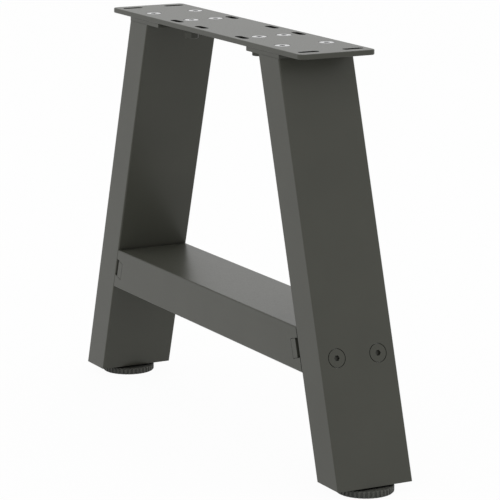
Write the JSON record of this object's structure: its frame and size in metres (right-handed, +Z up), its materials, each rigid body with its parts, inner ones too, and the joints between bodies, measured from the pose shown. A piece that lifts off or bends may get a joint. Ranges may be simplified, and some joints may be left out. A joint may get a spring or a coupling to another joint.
{
  "type": "trestle table leg",
  "caption": "A-frame trestle table leg: splayed rectangular steel tubes under a slotted mounting plate, tied by a stretcher and standing on round levelling feet.",
  "frame": {"origin": "on the floor, midway between the two feet", "axes": "+X along the width from the left foot to the right foot, +Y along the depth, +Z up"},
  "size_m": [0.5618, 0.08, 0.4],
  "materials": {
    "powder_coat": "semi-gloss anthracite powder coat",
    "zinc_steel": "bright zinc plating",
    "plain_steel": "plain steel",
    "foot_plastic": "moulded dark grey plastic"
  },
  "bodies": {
    "frame": {"mounting_plate": "powder_coat", "stretcher_tube": "powder_coat", "left_leg_tube": "powder_coat", "left_top_flange": "powder_coat", "left_outer_plate_screws": "zinc_steel", "left_outer_flange_nuts": "powder_coat", "left_inner_plate_screws": "zinc_steel", "left_inner_flange_nuts": "powder_coat", "left_stretcher_bracket": "powder_coat", "left_stretcher_bolts": "powder_coat", "left_bolt_sleeves": "plain_steel", "left_foot_plate": "powder_coat", "left_foot_nut": "plain_steel", "right_leg_tube": "powder_coat", "right_top_flange": "powder_coat", "right_outer_plate_screws": "zinc_steel", "right_outer_flange_nuts": "powder_coat", "right_inner_plate_screws": "zinc_steel", "right_inner_flange_nuts": "powder_coat", "right_stretcher_bracket": "powder_coat", "right_stretcher_bolts": "powder_coat", "right_bolt_sleeves": "plain_steel", "right_foot_plate": "powder_coat", "right_foot_nut": "plain_steel"},
    "left_stud": {"left_foot_stud": "zinc_steel"},
    "left_pad": {"left_foot_pad": "foot_plastic"},
    "right_stud": {"right_foot_stud": "zinc_steel"},
    "right_pad": {"right_foot_pad": "foot_plastic"}
  },
  "joints": [
    {"name": "left_foot_travel", "type": "slide", "parent": "frame", "child": "left_stud", "axis": [0, 0, -1], "range_m": [0, 0.01]},
    {"name": "left_foot_turn", "type": "hinge", "parent": "left_stud", "child": "left_pad", "pos_m": [-0.25365, 0, 0], "axis": [0, 0, -1], "range_deg": [0, 2400]},
    {"name": "right_foot_travel", "type": "slide", "parent": "frame", "child": "right_stud", "axis": [0, 0, -1], "range_m": [0, 0.01]},
    {"name": "right_foot_turn", "type": "hinge", "parent": "right_stud", "child": "right_pad", "pos_m": [0.25365, 0, 0], "axis": [0, 0, -1], "range_deg": [0, 2400]}
  ],
  "couplings": [
    {"joint": "left_foot_travel", "follows": "left_foot_turn", "m_per_rad": 0.00023873},
    {"joint": "right_foot_travel", "follows": "right_foot_turn", "m_per_rad": 0.00023873}
  ]
}
